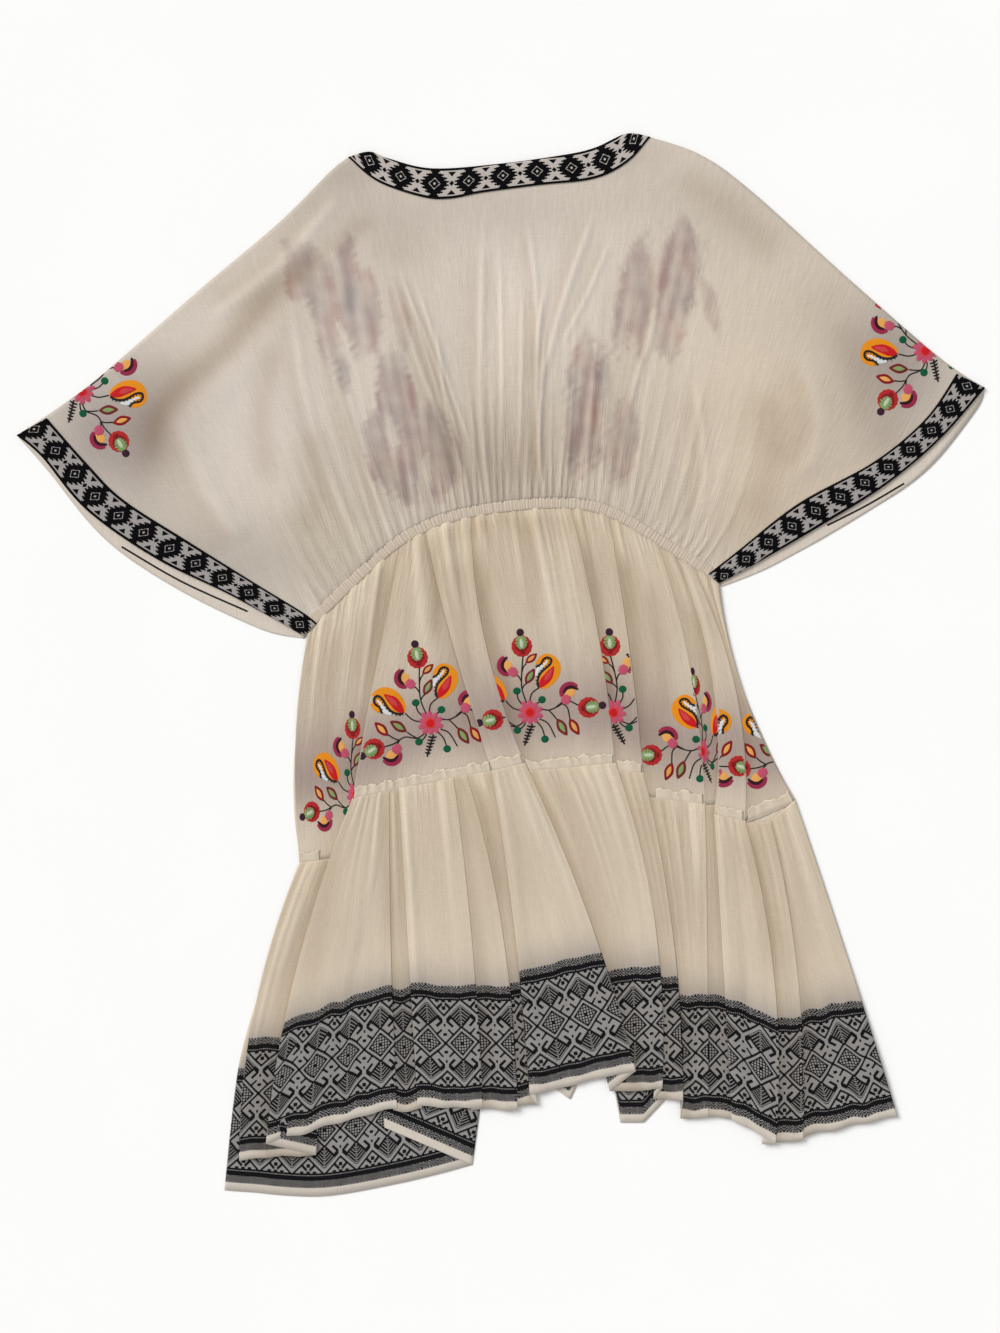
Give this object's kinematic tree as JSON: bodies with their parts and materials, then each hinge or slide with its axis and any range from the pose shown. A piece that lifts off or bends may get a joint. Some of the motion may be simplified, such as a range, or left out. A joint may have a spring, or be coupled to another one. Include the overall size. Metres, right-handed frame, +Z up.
{
  "type": "peasant dress",
  "caption": "Gauze peasant dress laid flat, back side up: batwing bodice with woven trims, elastic waist and a gathered, embroidered, tiered skirt.",
  "frame": {"origin": "centre of the box round the laid-out dress, on the surface it lies on", "axes": "+X across the dress, +Y from the hem to the neck, +Z up out of the surface, through the back of the dress"},
  "size_m": [0.872, 0.9398, 0.0108],
  "materials": {
    "bodice_gauze": "sheer off-white cotton gauze",
    "skirt_gauze": "cream cotton gauze with black and ivory woven border",
    "woven_trim": "black and ivory woven band",
    "embroidery_thread": "satin-stitched cotton thread in several colours"
  },
  "bodies": {
    "root": {"bodice_back": "bodice_gauze", "bodice_front": "bodice_gauze", "neck_trim_back": "woven_trim", "cuff_trim_left": "woven_trim", "cuff_trim_right": "woven_trim", "waist_casing_back": "skirt_gauze", "waist_casing_front": "skirt_gauze", "skirt_tier1_back": "skirt_gauze", "skirt_tier1_front": "skirt_gauze", "skirt_tier2_back": "skirt_gauze", "skirt_tier2_front": "skirt_gauze", "tier_header_1": "skirt_gauze", "tier_header_2": "skirt_gauze", "tier_header_3": "skirt_gauze", "tier_header_4": "skirt_gauze", "tier_header_5": "skirt_gauze", "tier_header_6": "skirt_gauze", "tier_header_7": "skirt_gauze", "tier_header_8": "skirt_gauze"}
  },
  "joints": []
}
